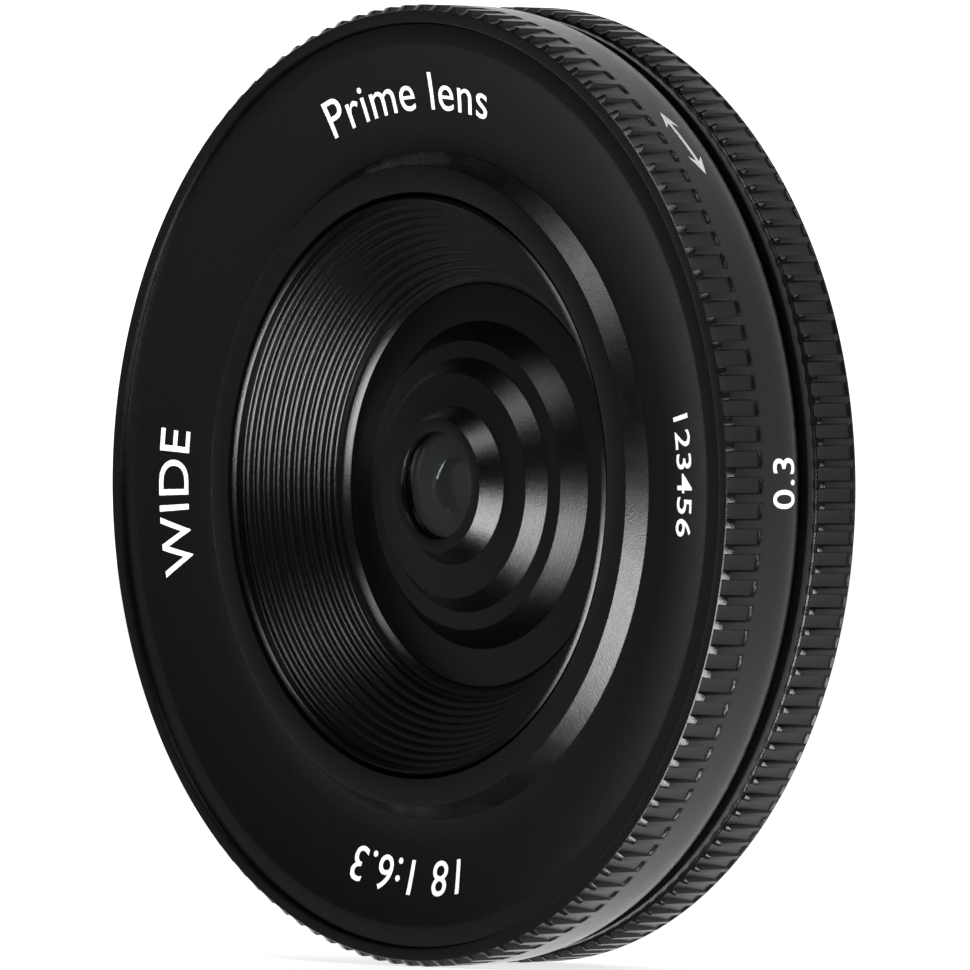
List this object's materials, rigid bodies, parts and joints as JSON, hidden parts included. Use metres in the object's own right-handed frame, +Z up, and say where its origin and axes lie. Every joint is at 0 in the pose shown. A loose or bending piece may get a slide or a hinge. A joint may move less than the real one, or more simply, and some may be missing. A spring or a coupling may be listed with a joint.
{
  "type": "pancake prime camera lens",
  "caption": "Very thin manual-focus wide prime lens for a mirrorless camera: knurled focus ring, distance band, ribbed front recess, small front element and metal bayonet.",
  "frame": {"origin": "centre of the flange face that meets the camera", "axes": "+Y along the optical axis towards the camera, so the front looks to -Y; +Z up, through the index mark's side of the lens at 12 o'clock; +X to the right for someone facing the front"},
  "size_m": [0.061, 0.015, 0.061],
  "materials": {
    "black_anodised": "satin black anodised, finely blasted",
    "black_turned": "black anodised with fine turning marks",
    "bayonet_metal": "satin chromed, finely turned",
    "steel": "bright machined",
    "brass": "turned and greased",
    "black_plastic": "matt moulded",
    "white_paint": "matt engraving paint",
    "coated_glass": "polished, anti-reflection coated"
  },
  "bodies": {
    "fixed_body": {"rear_grip_ring": "black_anodised", "bayonet_plate": "bayonet_metal", "mount_screw_1": "steel", "mount_screw_2": "steel", "mount_screw_3": "steel", "mount_screw_4": "steel", "index_dot": "white_paint", "rear_light_baffle": "black_plastic", "baffle_screw_1": "steel", "baffle_screw_2": "steel", "baffle_screw_3": "steel", "guide_key": "brass", "guide_key_screw": "steel", "focus_stop_pin": "steel", "bearing_washer": "black_plastic"},
    "focus_ring_unit": {"focus_ring": "black_anodised", "name_ring": "black_anodised", "helicoid_sleeve": "brass", "ring_screw_1": "steel", "ring_screw_2": "steel", "ring_screw_3": "steel", "sleeve_retaining_ring": "black_turned"},
    "optical_unit": {"focus_carrier": "black_turned", "ribbed_baffle": "black_turned", "front_hub": "black_turned", "lens_cell": "black_turned", "infinity_shim": "brass", "front_stop_plate": "black_turned", "spacer_ring_1": "black_turned", "spacer_ring_2": "black_turned", "spacer_ring_3": "black_turned", "aperture_stop": "black_turned", "rear_retaining_ring": "black_turned", "lens_element_1": "coated_glass", "lens_element_2": "coated_glass", "lens_element_3": "coated_glass", "lens_element_4": "coated_glass", "lens_element_5": "coated_glass", "lens_element_6": "coated_glass"}
  },
  "joints": [
    {"name": "focus_turn", "type": "hinge", "parent": "fixed_body", "child": "focus_ring_unit", "pos_m": [0, 0, 0], "axis": [0, -1, 0], "range_deg": [0, 100]},
    {"name": "optics_slide", "type": "slide", "parent": "fixed_body", "child": "optical_unit", "axis": [0, -1, 0], "range_m": [0, 0.0012]}
  ],
  "couplings": [
    {"joint": "optics_slide", "follows": "focus_turn", "m_per_rad": 0.0006875}
  ]
}
